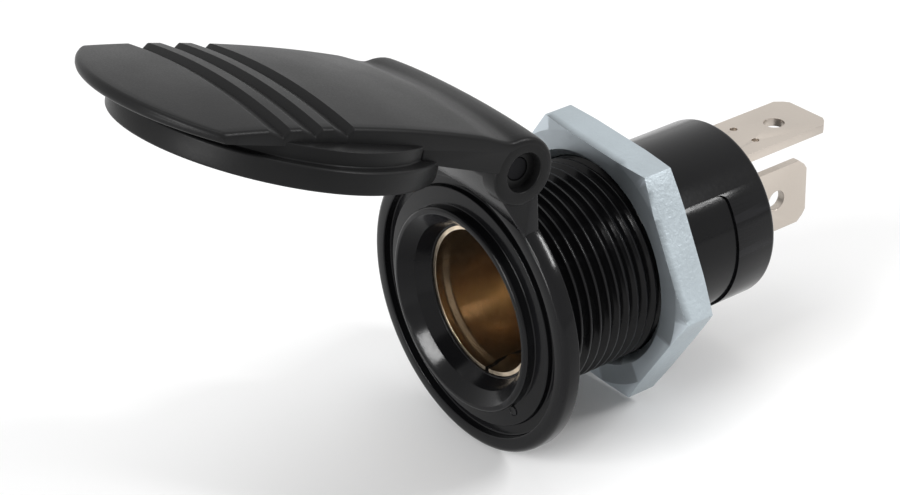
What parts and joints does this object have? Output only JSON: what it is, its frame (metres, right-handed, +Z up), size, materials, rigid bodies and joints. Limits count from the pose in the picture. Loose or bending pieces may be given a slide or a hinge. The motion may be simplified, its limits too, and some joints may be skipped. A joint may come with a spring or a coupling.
{
  "type": "car 12v power socket",
  "caption": "Panel-mounted low-voltage power socket with a hinged dust lid, threaded barrel, hexagonal clamping nut and blade terminals.",
  "frame": {"origin": "on the socket's axis in the plane of the flange's back face, where the panel sits", "axes": "+Y along the socket's axis from the mouth to the blades, +Z up towards the lid's hinge, +X along the hinge's axis"},
  "size_m": [0.0258, 0.0705, 0.043],
  "materials": {
    "housing_plastic": "satin gloss, moulded",
    "lid_plastic": "fine matt, moulded",
    "nickelled_brass": "nickel plated, bright",
    "tinned_brass": "tin plated, satin",
    "contact_brass": "turned, plain",
    "zinc_steel": "bright zinc plate with a fine grain",
    "pin_steel": "dark oxide",
    "fibre": "plain insulating board"
  },
  "bodies": {
    "socket": {"housing": "housing_plastic", "contact_sleeve": "nickelled_brass", "insulating_bush": "fibre", "centre_contact": "contact_brass", "upper_terminal": "tinned_brass", "lower_terminal": "tinned_brass", "rear_washer": "fibre", "rear_plug": "housing_plastic", "hinge_pin": "pin_steel"},
    "cover": {"lid": "lid_plastic"},
    "nut": {"hex_nut": "zinc_steel"}
  },
  "joints": [
    {"name": "lid_hinge", "type": "hinge", "parent": "socket", "child": "cover", "pos_m": [0, -0.00285, 0.01687], "axis": [1, 0, 0], "range_deg": [0, 109.7]},
    {"name": "nut_travel", "type": "slide", "parent": "socket", "child": "nut", "axis": [0, 1, 0], "range_m": [-0.0105, 0.002]}
  ]
}
